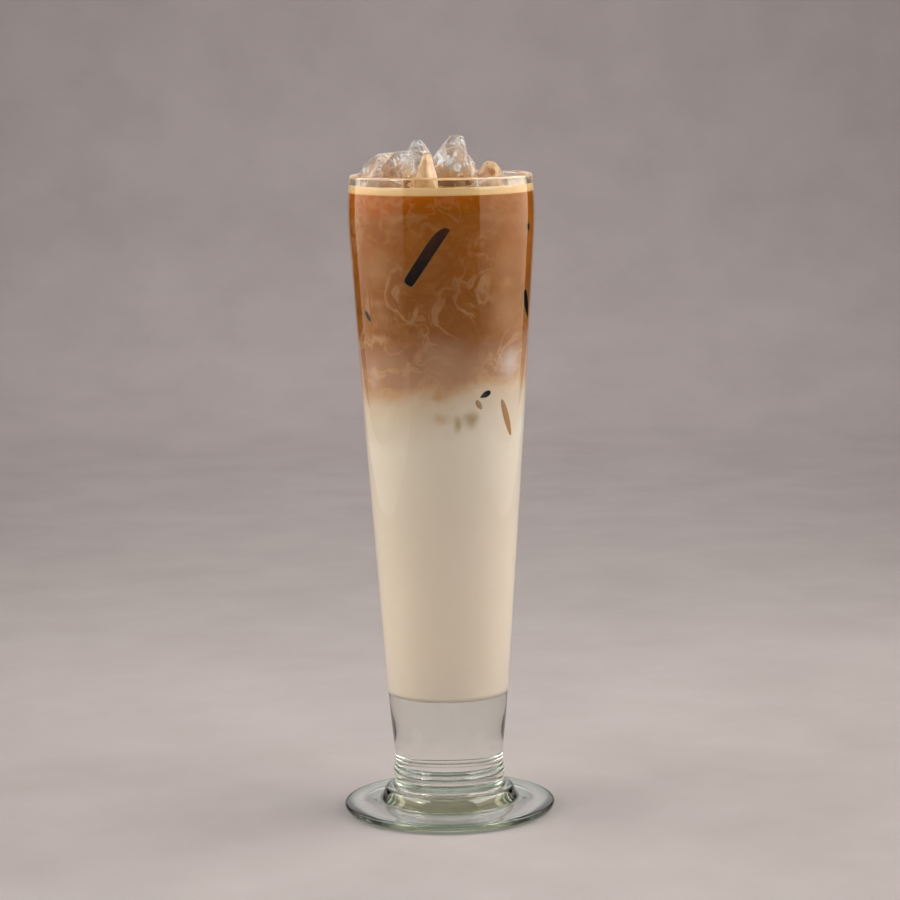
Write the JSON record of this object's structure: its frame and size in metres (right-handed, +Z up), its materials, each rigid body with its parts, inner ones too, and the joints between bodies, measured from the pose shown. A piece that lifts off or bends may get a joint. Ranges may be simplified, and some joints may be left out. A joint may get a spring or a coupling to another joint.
{
  "type": "iced latte in a footed glass",
  "caption": "Tall tapered footed glass with a heavy clear base, filled with milk under coffee and a thin foam, with lumps of ice standing out of the top.",
  "frame": {"origin": "centre of the foot's underside, on the surface that the glass stands on", "axes": "+Z up along the glass's axis, -Y towards the front as pictured, +X to the viewer's right"},
  "size_m": [0.0778, 0.0778, 0.2488],
  "materials": {
    "glass": "clear pressed glass, faintly green where it is thick",
    "milk": "opaque creamy milk",
    "coffee": "coffee with threads of milk",
    "foam": "fine light brown foam",
    "ice": "clear ice, stained by coffee near the foam"
  },
  "bodies": {
    "root": {"glass": "glass", "milk": "milk", "coffee": "coffee", "foam": "foam", "ice_left": "ice", "ice_dome": "ice", "ice_coated": "ice", "ice_peak": "ice", "ice_right": "ice", "ice_back_left": "ice", "ice_back": "ice", "ice_back_right": "ice"}
  },
  "joints": []
}
